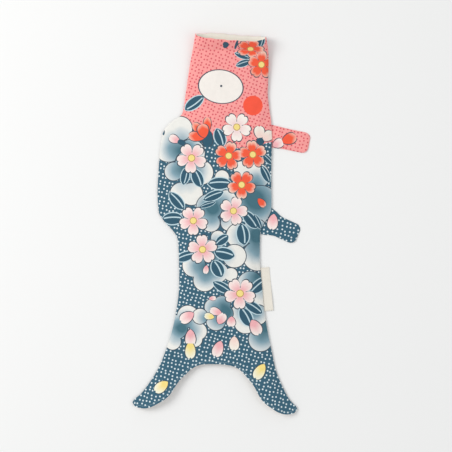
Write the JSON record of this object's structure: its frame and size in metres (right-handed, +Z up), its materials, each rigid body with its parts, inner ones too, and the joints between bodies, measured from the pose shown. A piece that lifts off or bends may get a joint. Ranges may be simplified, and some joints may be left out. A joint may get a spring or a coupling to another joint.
{
  "type": "carp streamer",
  "caption": "Fish-shaped cloth windsock of printed cotton, with a wire-hooped mouth, a forked tail and flaps for fins, lying flat.",
  "frame": {"origin": "on the surface it lies on, under the middle of the bounding box", "axes": "+Y from the tail to the mouth, +X from the dorsal hump to the fins, +Z up out of the printed front panel"},
  "size_m": [0.222, 0.5014, 0.027],
  "materials": {
    "back_panel_belly_lobe": "matte printed cotton, blue with white dots and blossoms",
    "back_panel_dorsal_lobe": "matte printed cotton, blue with white dots and blossoms",
    "back_panel_head": "matte printed cotton, coral with dots and blossoms",
    "back_panel_tail": "matte printed cotton, blue with white dots and blossoms",
    "back_panel_trunk": "matte printed cotton, blue with white dots and blossoms",
    "belly_lobe_seam": "sewing thread",
    "belly_seam_head": "sewing thread",
    "belly_seam_tail": "sewing thread",
    "belly_seam_trunk": "sewing thread",
    "casing_stitch": "sewing thread",
    "casing_tape": "matte woven tape, ivory",
    "dorsal_lobe_seam": "sewing thread",
    "dorsal_seam_head": "sewing thread",
    "dorsal_seam_tail": "sewing thread",
    "dorsal_seam_trunk": "sewing thread",
    "front_panel_belly_lobe": "matte printed cotton, blue with white dots and blossoms",
    "front_panel_dorsal_lobe": "matte printed cotton, blue with white dots and blossoms",
    "front_panel_head": "matte printed cotton, coral with dots and blossoms",
    "front_panel_tail": "matte printed cotton, blue with white dots and blossoms",
    "front_panel_trunk": "matte printed cotton, blue with white dots and blossoms",
    "hoop_sleeve": "crimped tube",
    "mouth_hoop": "spring wire",
    "pectoral_fin_back_ply": "matte printed cotton, coral with dots and blossoms",
    "pectoral_fin_front_ply": "matte printed cotton, coral with dots and blossoms",
    "pectoral_fin_seam": "sewing thread",
    "pelvic_fin_back_ply": "matte printed cotton, blue with white dots and blossoms",
    "pelvic_fin_front_ply": "matte printed cotton, blue with white dots and blossoms",
    "pelvic_fin_seam": "sewing thread",
    "side_label": "matte woven tape, ivory"
  },
  "bodies": {
    "head": {"back_panel_head": "back_panel_head", "belly_seam_head": "belly_seam_head", "casing_stitch": "casing_stitch", "casing_tape": "casing_tape", "dorsal_seam_head": "dorsal_seam_head", "front_panel_head": "front_panel_head", "hoop_sleeve": "hoop_sleeve", "mouth_hoop": "mouth_hoop"},
    "trunk": {"back_panel_trunk": "back_panel_trunk", "belly_seam_trunk": "belly_seam_trunk", "dorsal_seam_trunk": "dorsal_seam_trunk", "front_panel_trunk": "front_panel_trunk"},
    "tail": {"back_panel_tail": "back_panel_tail", "belly_seam_tail": "belly_seam_tail", "dorsal_seam_tail": "dorsal_seam_tail", "front_panel_tail": "front_panel_tail"},
    "dorsal_lobe": {"back_panel_dorsal_lobe": "back_panel_dorsal_lobe", "dorsal_lobe_seam": "dorsal_lobe_seam", "front_panel_dorsal_lobe": "front_panel_dorsal_lobe"},
    "belly_lobe": {"back_panel_belly_lobe": "back_panel_belly_lobe", "belly_lobe_seam": "belly_lobe_seam", "front_panel_belly_lobe": "front_panel_belly_lobe"},
    "pectoral_fin": {"pectoral_fin_back_ply": "pectoral_fin_back_ply", "pectoral_fin_front_ply": "pectoral_fin_front_ply", "pectoral_fin_seam": "pectoral_fin_seam"},
    "pelvic_fin": {"pelvic_fin_back_ply": "pelvic_fin_back_ply", "pelvic_fin_front_ply": "pelvic_fin_front_ply", "pelvic_fin_seam": "pelvic_fin_seam"},
    "side_label_body": {"side_label": "side_label"}
  },
  "joints": [
    {"name": "shoulder_bend", "type": "hinge", "parent": "head", "child": "trunk", "pos_m": [-0.00166, 0.14547, 0.00129], "axis": [1, 0, 0], "range_deg": [-60, 60]},
    {"name": "tail_bend", "type": "hinge", "parent": "trunk", "child": "tail", "pos_m": [-0.00166, -0.03953, 0.0011], "axis": [1, 0, 0], "range_deg": [-60, 60]},
    {"name": "dorsal_lobe_bend", "type": "hinge", "parent": "tail", "child": "dorsal_lobe", "pos_m": [-0.04666, -0.18853, 0.0011], "axis": [1, 0, 0], "range_deg": [-60, 60]},
    {"name": "belly_lobe_bend", "type": "hinge", "parent": "tail", "child": "belly_lobe", "pos_m": [0.04335, -0.18853, 0.0011], "axis": [1, 0, 0], "range_deg": [-60, 60]},
    {"name": "pectoral_fin_flap", "type": "hinge", "parent": "trunk", "child": "pectoral_fin", "pos_m": [0.05961, 0.11654, 0.00085], "axis": [-0.0566, 0.9984, 0], "range_deg": [-90, 90]},
    {"name": "pelvic_fin_flap", "type": "hinge", "parent": "trunk", "child": "pelvic_fin", "pos_m": [0.05743, 0.00297, 0.00085], "axis": [0.3644, 0.9312, 0], "range_deg": [-90, 90]},
    {"name": "label_flap", "type": "hinge", "parent": "tail", "child": "side_label_body", "pos_m": [0.0558, -0.08764, 0.0005], "axis": [-0.1344, 0.9909, 0], "range_deg": [-90, 90]}
  ]
}
